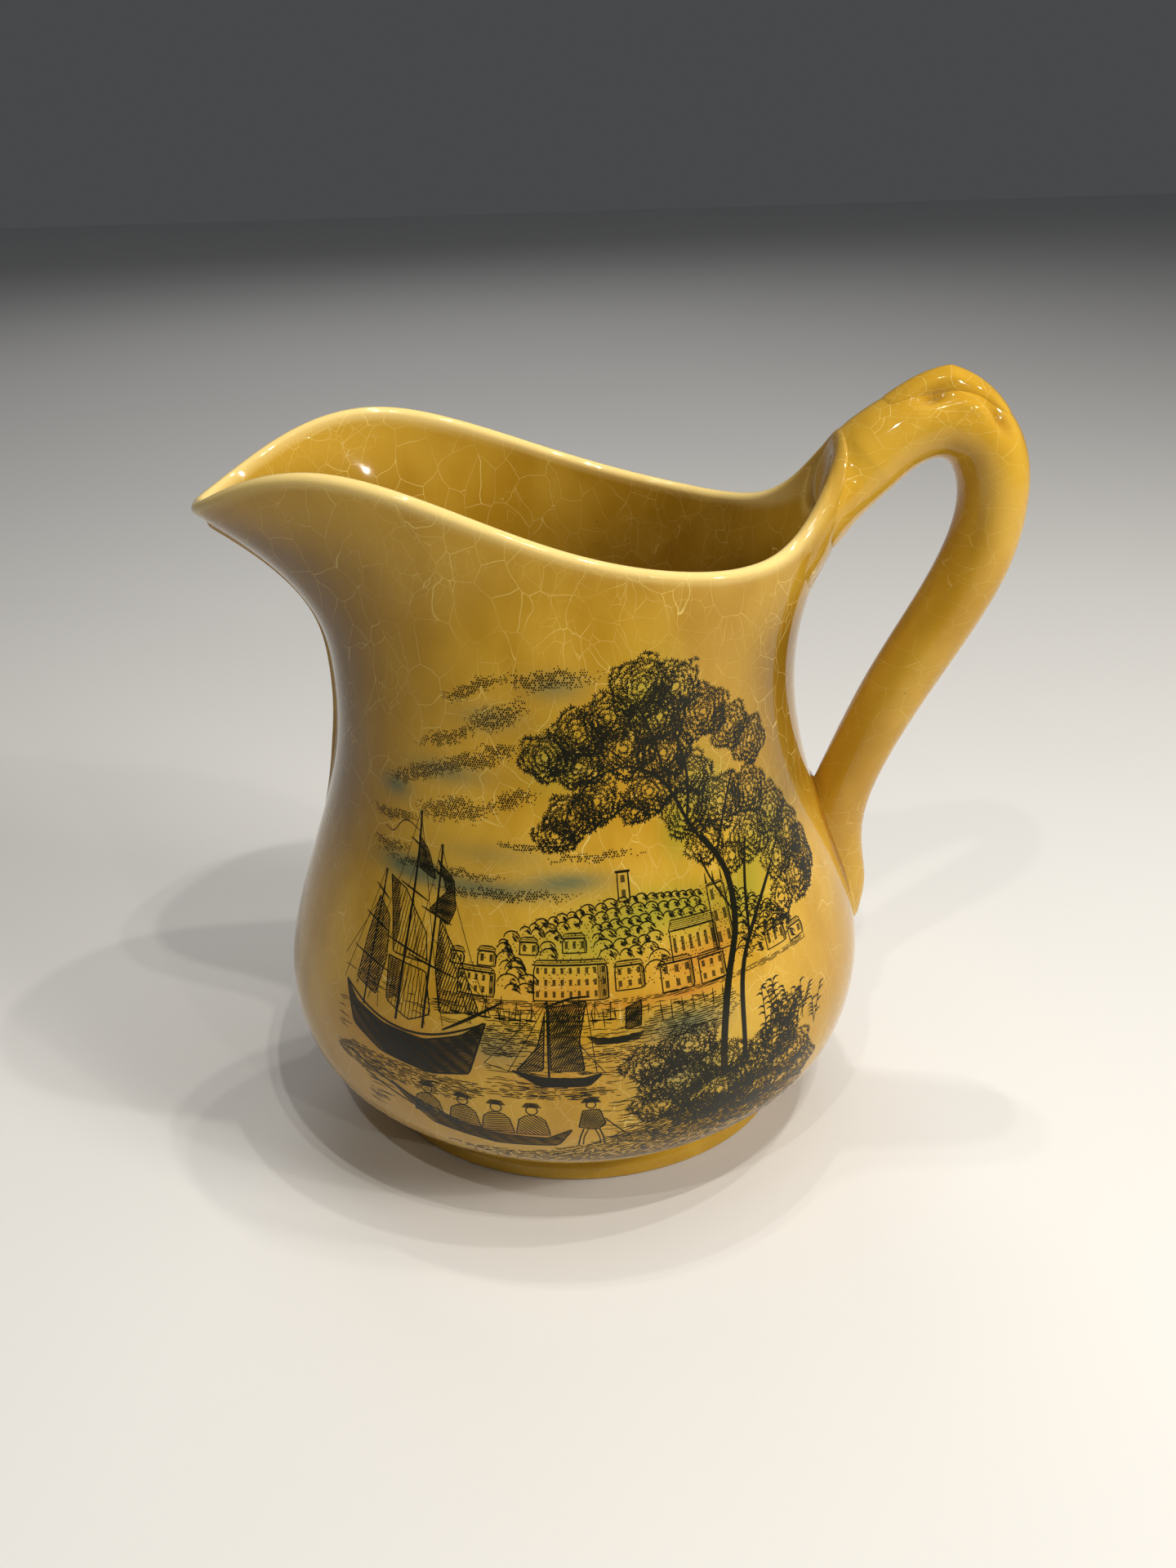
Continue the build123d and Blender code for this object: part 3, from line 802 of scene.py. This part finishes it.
def drawShips(sheet):
    r = sheet.random
    # the tall ship: masts, yards, sails, rigging and a dark hull
    for u, top, width in ((-50, 91, 0.4), (-41, 108, 0.55), (-34.5, 101, 0.5)):
        sheet.line([(u, 56), (u + 0.4, top)], width)
        for q in (0.35, 0.62, 0.84):
            z = 56 + (top - 56) * q
            sheet.curve([(u - 6.5 * (1.2 - q), z + 1.2), (u, z), (u + 7.5 * (1.2 - q), z - 1.6)], 0.42,
                0.6, 8)
    sail(sheet, [(-53, 62), (-52, 74), (-50.5, 84), (-46.5, 80), (-45.5, 70), (-47, 60)], 0.5, 0.3, 60)
    sail(sheet, [(-48, 90), (-43, 88), (-36, 79), (-35, 72), (-44, 72), (-46, 82)], 0.85, 0.2, 84, [(-48,
        90), (-45, 89), (-43, 78), (-44, 72), (-46, 82)])
    sail(sheet, [(-45, 71), (-35, 70), (-33, 60), (-38, 57), (-44, 60)], 0.9, 0.18, 88, [(-45, 71), (-41.5,
        70.6), (-41, 62), (-44, 60)])
    sail(sheet, [(-41, 102), (-38, 99), (-35, 92), (-40, 94)], 0.4, 0.3, 40)
    sail(sheet, [(-35, 97), (-30.5, 93), (-29.5, 86), (-31, 82), (-36, 85), (-32, 90)], 0.4, 0.32, 30)
    sail(sheet, [(-33, 83), (-27, 74), (-22.5, 63), (-31, 61), (-33, 72)], 0.62, 0.24, 76, [(-33, 83),
        (-31, 76), (-31, 61), (-33, 72)])
    for a, b in (((-50, 91), (-57, 60)), ((-50, 91), (-46, 57)), ((-41, 108), (-53, 60)), ((-41, 108),
        (-30, 58)),
                 ((-34.5, 101), (-20, 62)), ((-34.5, 101), (-41, 57)), ((-50, 84), (-58, 66)), ((-41, 96),
                 (-49, 58)),
                 ((-34.5, 90), (-24, 60)), ((-34, 78), (-18, 63)), ((-41, 88), (-34, 57))):
        sheet.line([a, b], 0.13)
    hull = [(-56, 60), (-52, 56), (-44, 53.6), (-34, 53.2), (-26, 56.5), (-21, 61), (-22.5, 54), (-24, 47),
        (-32, 44.8), (-44, 46), (-52, 50)]
    sheet.hatch(hull, 0.36, 0.3, -4, 0.1)
    sheet.shape(hull, 0.4)
    sheet.curve([(-56, 60), (-46, 55.2), (-34, 54.6), (-22, 60)], 0.5, 0.2)
    sheet.line([(-30, 57), (-18, 66)], 0.7, 0.5)
    sheet.curve([(-41, 103), (-46, 104.5), (-49, 101), (-52, 101.5)], 0.22)
    for u in np.arange(-50, -26, 2.6):
        sheet.dots([u], [51.6 + 0.003 * (u + 40) ** 2], 0.5)
    sheet.move(0, (1.0, 0.905), (-40, 45), (-34.5, 51))
    # the fishing boat, a skiff by the quay and the rowing boat
    start = len(sheet.lines)
    sheet.line([(-3, 48), (-3.4, 71)], 0.4)
    sail(sheet, [(-3, 69), (6.5, 71), (4.5, 60), (5.6, 51), (-2.5, 51)], 0.5, 0.3, 62)
    sail(sheet, [(-4, 67), (-5.8, 58), (-11, 50.5), (-4.4, 51)], 0.55, 0.28, 50)
    sheet.curve([(-4, 69), (2, 71.5), (7.5, 72)], 0.5)
    for a, b in (((-3.4, 71), (-19, 52)), ((-3.4, 71), (-13, 50)), ((-3, 70), (10.5, 50)), ((6.5, 71),
        (8.5, 50)), ((-19, 52), (-8, 49))):
        sheet.line([a, b], 0.14)
    hull = [(-12, 50.6), (-4, 48.8), (5, 48.6), (10, 50), (6.5, 46.2), (-5, 46)]
    sheet.hatch(hull, 0.32, 0.3, 0, 0.05)
    sheet.shape(hull, 0.3)
    sheet.move(start, (0.78, 0.78), (-1, 46), (-1.5, 51.5))
    start = len(sheet.lines)
    sail(sheet, [(16, 68.6), (19.6, 70), (19, 64), (15.6, 63.4)], 0.36, 0.28, 60)
    sheet.hatch([(7, 62.6), (12, 61.6), (20, 62.6), (18, 60.4), (9, 60.2)], 0.3, 0.28)
    sheet.move(start, (0.9, 0.9), (13, 60), (9.5, 61))
    boat = [(-36, 44.6), (-26, 39.6), (-14, 36.6), (-4, 36.2), (1, 39.4), (-2, 33.6), (-14, 33), (-27, 35.6)]
    sheet.hatch(boat, 0.4, 0.26, -10, 0.1)
    sheet.shape(boat, 0.32)
    sheet.line([(-46, 47.5), (-26, 40.5), (-20, 38)], 0.42)
    sheet.line([(-43, 44), (-28, 38.6)], 0.36)
    # plain seated figures: a round head, a hat and a cloak, all drawn alike
    for u, z in ((-27.5, 40.6), (-20, 39.8), (-13.4, 39.4), (-6.6, 39.4)):
        start = len(sheet.lines)
        cloak = [(u - 2.5, z - 2.2), (u - 1.9, z + 1.6), (u - 0.7, z + 2.7), (u + 0.7, z + 2.7), (u + 1.9,
            z + 1.6), (u + 2.6, z - 2.2)]
        sheet.hatch(cloak, 0.46, 0.26, r.uniform(-50, 50))
        sheet.shape(cloak, 0.22)
        t = np.linspace(0, 2 * np.pi, 11)
        sheet.line(np.stack([u + 0.85 * np.cos(t), z + 3.7 + 0.95 * np.sin(t)], -1), 0.24)
        sheet.hatch([(u - 1.5, z + 4.3), (u + 1.5, z + 4.3), (u + 0.8, z + 5.4), (u - 0.8, z + 5.4)], 0.26,
            0.28)
        sheet.move(start, (1.3, 1.3), (u, z - 2.2), (u, z - 2.2))
    u, z = 4.5, 36
    coat = [(u - 2.4, z + 4), (u - 1.6, z + 9), (u + 1.6, z + 9.4), (u + 2.8, z + 4.6), (u + 1, z + 3)]
    sheet.hatch(coat, 0.4, 0.28, 60)
    sheet.shape(coat, 0.24)
    for side in (-1, 1):
        sheet.line([(u + side * 0.5, z + 3.6), (u + side * 1.5, z + 0.6), (u + side * 1.7, z - 2.2)], 0.22)
        sheet.line([(u + side * 0.5 + side, z + 3.4), (u + side * 2.2, z + 0.6), (u + side * 2.6,
            z - 2.4)], 0.3)
    t = np.linspace(0, 2 * np.pi, 11)
    sheet.line(np.stack([u + 0.9 * np.cos(t), z + 10.6 + np.sin(t)], -1), 0.26)
    sheet.hatch([(u - 2, z + 11.2), (u + 2, z + 11.2), (u + 1, z + 12.6), (u - 1, z + 12.6)], 0.26, 0.3)
    sheet.line([(u + 2.6, z + 6.5), (u + 6.5, z + 1)], 0.26)


def drawWater(sheet):
    r = sheet.random
    for _ in range(950):
        u, z = r.uniform(-52, 30), r.uniform(35, 69)
        long = r.uniform(1.0, 5.0)
        inBoat = (abs(u + 33) < 17 and 50 < z < 64) or (-38 < u < 6 and 32 < z < 48)
        if u > 12 and z < 60 or u < -44 and z < 44 or inBoat:
            continue
        x = np.linspace(0, long, 5)
        sheet.line(np.stack([u + x, z + 0.12 * np.sin(x * 2.2 + u)], -1), 0.17, 0.7)
    for u0, u1, z0, z1 in ((-50, -16, 45, 51), (-12, 8, 48, 51.4), (16, 36, 60.5, 68), (-16, -6, 58, 67),
        (4, 16, 57, 60.5)):
        sheet.hatch([(u0 + 3, z1), (u1 - 1, z1), (u1 + 1, (z0 + z1) / 2), (u1 - 4, z0), (u0, z0), (u0 - 2,
            (z0 + z1) / 2)], 0.48, 0.22, 0, 0.12, 1.4)
    for u in np.arange(-20, 34, 2.3):  # reflections of the town
        sheet.line([(u, 69), (u + r.normal(0, 0.2), 69 - r.uniform(1.5, 5))], 0.2, 0.6)


drawings = dict(
    Sky=[drawSky], Tree=[drawTree], Town=[drawTown, drawWater], Ships=[drawShips, drawBank],
)


# colour washes under the ink: u, z, reach across, reach up, strength, for green, blue-green and rust
washes = dict(
    green=[(22, 134, 9, 8, 0.6), (0, 122, 8, 7, 0.55), (36, 112, 8, 8, 0.6), (28, 104, 4, 7, 0.6), (55, 96,
    9, 9, 0.5), (20, 88, 14, 5, 0.8),
           (4, 82, 12, 5, 0.6), (38, 84, 10, 6, 0.6), (46, 90, 5, 8, 0.4), (28, 48, 12, 8, 0.35)],
    blue=[(-44, 112, 5, 2.5, 0.95), (-28, 118, 10, 2.6, 0.75), (0, 138, 7, 3, 0.7), (-38, 95, 9, 2.8, 1.1),
    (-18, 93.5, 18, 2.3, 1.0),
          (2, 96, 9, 2.2, 0.95), (-16, 101, 14, 2.6, 0.45), (24, 63, 9, 4, 1.0), (-14, 60, 8, 5, 0.7), (22,
          52, 9, 6, 0.6), (-16, 131, 9, 3, 0.5)],
    rust=[(-32, 56, 12, 3.0, 0.9), (-13, 37, 12, 2.0, 0.55), (0, 73, 12, 3, 0.4), (28, 76, 9, 3.5, 0.65),
    (26, 70, 8, 2, 0.5), (35, 82, 3, 6, 0.4),
          (4, 69.5, 28, 0.9, 0.5), (-2, 52.5, 7, 1.8, 0.4)],
)


def washAt(points, name):
    u = np.arctan2(points[:, 0] / reachHandle(points[:, 2]), np.abs(points[:, 1]) / halfWidth(points[:,
        2])) * printed["turnRadius"]
    front = points[:, 1] < 0
    u = np.where(front, u, -u)
    total = np.zeros(len(points))
    for a, b, long, high, strength in washes[name]:
        total += strength * np.exp(-((u - a) / long) ** 2 - ((points[:, 2] - b) / high) ** 2)
    depth = np.hypot(points[:, 0] / reachHandle(points[:, 2]), points[:, 1] / halfWidth(points[:, 2]))
    return np.clip(total, 0, 1) * (depth > 0.975)


for colour in washes:
    paint(body, "wash" + colour.capitalize(), washAt(pointsOf(body), colour))


# the glaze
def paleRim(points):
    depth = rimHeight(points[:, 0]) - points[:, 2]
    return np.clip(1 - ease(depth, 0.2, 3.4), 0, 1) * (1 - 0.9 * ease(points[:, 0], 48, 62)) * (points[:,
        2] > 140)


def deepGlazeAndShade(points):
    # the glaze lies thicker, so darker, in the hollows of the neck and under the belly; this darkening is
    # also painted shade, along the keel under the spout, beside the handle, under the belly and over the neck
    # except on its lit front right
    x, z = points[:, 0], points[:, 2]
    angle = np.arctan2(points[:, 1] / halfWidth(z), x / reachHandle(z))
    keel = np.exp(-((np.abs(angle) - 2.76) / 0.44) ** 2) * ease(z, 76, 108) * (1 - ease(z, 158, 176))
    heel = np.exp(-((np.abs(angle) - 0.42) / 0.34) ** 2) * ease(z, 84, 104) * (1 - ease(z, 132, 156))
    under = 0.2 * (1 - ease(z, 8, 22))
    neck = 0.28 * ease(z, 112, 146) * (1 - ease(np.abs(angle + 0.8), 0.2, 0.9) * 0.4)
    return np.clip(0.95 * keel + 0.9 * heel + under + neck, 0, 1)


for piece in (body, upperSlip, lowerSlip, keelRib, loop, thumbRest):
    positions = pointsOf(piece)
    paint(piece, "thin", paleRim(positions) if piece in (body, upperSlip,
        keelRib) else np.zeros(len(positions)))
    paint(piece, "deepAndShade", deepGlazeAndShade(positions) if piece in (body, upperSlip,
        lowerSlip) else np.zeros(len(positions)))

glaze = dict(
    amber=(0.560, 0.325, 0.032), honey=(0.450, 0.240, 0.015), brown=(0.140, 0.064, 0.003), pale=(0.86,
    0.67, 0.28),
    crack=(0.80, 0.62, 0.20), pooled=(0.230, 0.085, 0.004), roughness=0.07,
    cellBig=0.150, cellSmall=0.30, crackWidth=0.052, greenInk=(0.20, 0.245, 0.020), blueInk=(0.060, 0.110,
    0.070), rustInk=(0.42, 0.105, 0.015),
)


class Nodes:
    def __init__(self, name):
        self.material = bpy.data.materials.new(name)
        self.material.use_nodes = True
        self.tree = self.material.node_tree
        self.shader = self.tree.nodes["Principled BSDF"]

    def add(self, kind, inputs=None, **settings):
        node = self.tree.nodes.new(kind)
        for key, value in settings.items():
            setattr(node, key, value)
        for key, value in (inputs or {}).items():
            self.set(node.inputs[key], value)
        return node

    def set(self, socket, value):
        if isinstance(value, bpy.types.NodeSocket):
            self.tree.links.new(value, socket)
        else:
            socket.default_value = value

    def math(self, operation, a, b=0.0, c=0.0, clamp=False):
        node = self.add("ShaderNodeMath", {0: a, 1: b, 2: c}, operation=operation, use_clamp=clamp)
        return node.outputs[0]

    def step(self, value, low, high, start=0.0, end=1.0):
        node = self.add("ShaderNodeMapRange", {0: value, 1: low, 2: high, 3: start, 4: end},
            interpolation_type="SMOOTHSTEP")
        return node.outputs[0]

    def mix(self, factor, a, b):
        node = self.add("ShaderNodeMix", data_type="RGBA")
        colour = [s for s in node.inputs if s.type == "RGBA"]
        self.set(node.inputs[0], factor)
        for socket, value in zip(colour, (a, b)):
            self.set(socket, value if isinstance(value, bpy.types.NodeSocket) else (*value, 1.0))
        return [s for s in node.outputs if s.type == "RGBA"][0]

    def attribute(self, name):
        return self.add("ShaderNodeAttribute", attribute_name=name).outputs["Fac"]

    def noise(self, vector, scale, detail=2.0, rough=0.5):
        return self.add("ShaderNodeTexNoise", {"Vector": vector, "Scale": scale, "Detail": detail,
            "Roughness": rough}).outputs[0]

    def scaled(self, vector, factors):
        return self.add("ShaderNodeVectorMath", {0: vector, 1: factors}, operation="MULTIPLY").outputs[0]


def makeGlaze(name, stretch=(1.0, 1.0, 1.0), crackShare=1.0, darker=0.0, pool=0.9):
    g = glaze
    n = Nodes(name)
    place = n.scaled(n.add("ShaderNodeTexCoord").outputs["Object"], (1000.0,) * 3)
    drift = n.noise(place, 0.028, 3.0)
    cloud = n.noise(n.scaled(place, (1.0, 1.0, 0.35)), 0.09, 3.0)
    colour = n.mix(n.step(n.math("ADD", n.math("MULTIPLY", drift, 0.65), n.math("MULTIPLY", cloud, 0.35)),
        0.40, 0.62), g["amber"], g["honey"])
    # painted shade with thicker glaze: the deep-glaze mask, plus the darker share, mixes in brown, the tone
    # of the glaze in shade
    colour = n.mix(n.math("ADD", n.math("MULTIPLY", n.attribute("deepAndShade"), 0.85), darker), colour, g["brown"])
    # crackle: long curved cells with finer ones inside, paler than the glaze
    wander = n.add("ShaderNodeTexNoise", {"Vector": place, "Scale": 0.055, "Detail": 2.0})
    warped = n.add("ShaderNodeVectorMath", {0: wander.outputs["Color"], 1: (9.0,) * 3, 2: place},
        operation="MULTIPLY_ADD").outputs[0]
    warped = n.scaled(warped, stretch)
    lines = []
    for scale, width, share in ((g["cellBig"], g["crackWidth"], 1.0), (g["cellSmall"],
        g["crackWidth"] * 0.75, 0.75)):
        cells = n.add("ShaderNodeTexVoronoi", {"Vector": warped, "Scale": scale}, feature="DISTANCE_TO_EDGE")
        line = n.step(cells.outputs["Distance"], width * scale * 0.35, width * scale, 1.0, 0.0)
        lines.append(n.math("MULTIPLY", line, share))
    patch = n.step(n.noise(place, 0.045, 1.0), 0.44, 0.56)
    strength = n.step(n.noise(place, 0.07, 2.0), 0.32, 0.60, 0.25, 1.0)
    crack = n.math("MAXIMUM", lines[0], n.math("MULTIPLY", lines[1], patch))
    crack = n.math("MULTIPLY", n.math("MULTIPLY", crack, strength), crackShare)
    colour = n.mix(n.math("MULTIPLY", crack, 0.62), colour, g["crack"])
    for layer, ink in (("washGreen", g["greenInk"]), ("washBlue", g["blueInk"]), ("washRust", g["rustInk"])):
        colour = n.mix(n.math("MULTIPLY", n.attribute(layer), 0.8), colour, ink)
    colour = n.mix(n.math("MULTIPLY", n.attribute("thin"), 0.72), colour, g["pale"])
    # pooled colour: glaze pooled along the lower joint, and in the dimples under the thumb rest partly
    # painted shade
    colour = n.mix(n.math("MULTIPLY", n.attribute("pool"), pool), colour, g["pooled"])
    speckCells = n.add("ShaderNodeTexVoronoi", {"Vector": place, "Scale": 0.11})
    speck = n.math("MULTIPLY", n.step(speckCells.outputs["Distance"], 0.018, 0.032, 1.0, 0.0),
                   n.math("GREATER_THAN", n.add("ShaderNodeSeparateColor",
                   {0: speckCells.outputs["Color"]}).outputs[0], 0.86))
    colour = n.mix(n.math("MULTIPLY", speck, 0.7), colour, (0.05, 0.025, 0.01))
    n.set(n.shader.inputs["Base Color"], colour)
    n.set(n.shader.inputs["Roughness"], g["roughness"])
    n.set(n.shader.inputs["IOR"], 1.38)
    n.set(n.shader.inputs["Coat Weight"], 0.15)
    n.set(n.shader.inputs["Coat Roughness"], 0.02)
    height = n.math("SUBTRACT", n.math("MULTIPLY", n.noise(place, 0.12, 2.0), 0.9), n.math("MULTIPLY",
        crack, 0.25))
    bump = n.add("ShaderNodeBump", {"Strength": 0.25, "Distance": 0.0002, "Height": height})
    n.set(n.shader.inputs["Normal"], bump.outputs[0])
    return n.material


def makeInk():
    n = Nodes("printInk")
    place = n.scaled(n.add("ShaderNodeTexCoord").outputs["Object"], (1000.0,) * 3)
    n.set(n.shader.inputs["Base Color"], n.mix(n.noise(place, 0.06, 2.0), (0.014, 0.012, 0.004), (0.006,
        0.007, 0.004)))
    n.set(n.shader.inputs["Roughness"], 0.16)
    n.set(n.shader.inputs["IOR"], 1.36)
    return n.material


amberGlaze = makeGlaze("amberGlaze", stretch=(1.0, 1.0, 0.7), pool=0.0)
# painted shade: the darker share darkens the whole keel rib under the spout
ribGlaze = makeGlaze("ribGlaze", stretch=(1.0, 1.0, 0.7), crackShare=0.5, darker=0.25, pool=0.0)
handleGlaze = makeGlaze("handleGlaze", stretch=(0.9, 0.6, 1.5), pool=0.5)
footGlaze = makeGlaze("footGlaze", crackShare=0.35, pool=0.0)
upperGlaze = makeGlaze("upperGlaze", stretch=(1.0, 1.0, 0.7), pool=0.0)
lowerGlaze = makeGlaze("lowerGlaze", stretch=(1.0, 1.0, 0.7), pool=0.85)
ink = makeInk()

finish(body, amberGlaze, "amber_glaze", "vessel_body")
finish(keelRib, ribGlaze, "amber_glaze", "spout_keel_rib")
finish(footRing, footGlaze, "foot_glaze", "foot_ring")
finish(loop, handleGlaze, "handle_glaze", "handle")
finish(thumbRest, handleGlaze, "handle_glaze", "thumb_rest")
finish(upperSlip, upperGlaze, "slip_glaze", "upper_luting_slip")
finish(lowerSlip, lowerGlaze, "slip_glaze", "lower_luting_slip")

for side, word, node in ((-1, "front", "front_transfer_print"), (1, "back", "back_transfer_print")):
    for title, parts in drawings.items():
        sheet = Sheet(word + title, printed["seed"] + (7 if side > 0 else 0))
        for draw in parts:
            draw(sheet)
        finish(sheet.build(side), ink, "print_ink", node)
print("print laid on")


# floor, soft light and camera
def makeFloor():
    n = Nodes("floorPaint")
    place = n.add("ShaderNodeTexCoord").outputs["Object"]
    n.set(n.shader.inputs["Base Color"], n.mix(n.noise(place, 4.0, 2.0), (0.74, 0.725, 0.70), (0.70, 0.685,
        0.66)))
    n.set(n.shader.inputs["Roughness"], 0.32)
    return n.material


pickNothing()
bpy.ops.mesh.primitive_plane_add(size=6)
floor = bpy.context.object
floor.name = "floor"
floor.data.materials.append(makeFloor())

light = dict(
    sky=(0.90, 0.94, 1.0), skyStrength=0.07,
    softs=[  # place, size, power, colour, in metres and watts
        ((0.85, -0.42, 0.66), 0.30, 6.8, (1.0, 0.97, 0.92)), ((0.20, 0.0, 1.25), 0.50, 2.5, (1.0, 0.98,
        0.95)),
        ((-0.25, 1.30, 1.20), 0.90, 5.5, (0.97, 0.98, 1.0)),
    ],
    dots=[((0.16, -0.30, 0.80), 0.014, 1.0), ((0.20, -0.28, 0.80), 0.012, 0.7), ((0.30, -0.10, 0.84),
    0.016, 1.0),
          ((-0.10, -0.42, 0.74), 0.014, 0.7), ((0.62, -0.35, 0.55), 0.016, 0.8), ((0.05, 0.10, 0.95),
          0.014, 0.8),
          ((0.02, 0.13, 0.95), 0.012, 0.6), ((0.45, -0.62, 0.48), 0.012, 0.5)],
)
world = bpy.data.worlds.new("studio")
bpy.context.scene.world = world
world.use_nodes = True
world.node_tree.nodes["Background"].inputs[0].default_value = (*light["sky"], 1)
world.node_tree.nodes["Background"].inputs[1].default_value = light["skyStrength"]


def lamp(place, size, power, colour=(1.0, 0.97, 0.9), mirrored=True):
    pickNothing()
    bpy.ops.object.light_add(type="AREA", location=place)
    item = bpy.context.object
    item.data.size, item.data.energy, item.data.color = size, power, colour
    item.visible_glossy = mirrored
    item.rotation_euler = (Vector((0, 0, 0.1)) - Vector(place)).to_track_quat("-Z", "Y").to_euler()


for spot in light["softs"]:
    lamp(*spot, mirrored=False)
for spot in light["dots"]:
    lamp(*spot)

view = dict(place=(14.9, -292.3, 248.0), pitch=28.2, yaw=-2.0, roll=-1.87, lens=29.68)
pickNothing()
bpy.ops.object.camera_add()
camera = bpy.context.object
camera.data.sensor_fit, camera.data.sensor_height = "VERTICAL", 36
camera.data.lens, camera.data.clip_start = view["lens"], 0.01
down, yaw, roll = (math.radians(view[k]) for k in ("pitch", "yaw", "roll"))
forward = Vector((math.sin(yaw) * math.cos(down), math.cos(yaw) * math.cos(down), -math.sin(down)))
level = Vector((math.cos(yaw), -math.sin(yaw), 0))
rise = level.cross(forward)
right, up = math.cos(roll) * level + math.sin(roll) * rise, math.cos(roll) * rise - math.sin(roll) * level
turned = Matrix((right, up, -forward)).transposed().to_4x4()
turned.translation = Vector(view["place"]) * mm
camera.matrix_world = turned
bpy.context.scene.camera = camera
bpy.context.scene.view_settings.view_transform = "Standard"
print("staged")
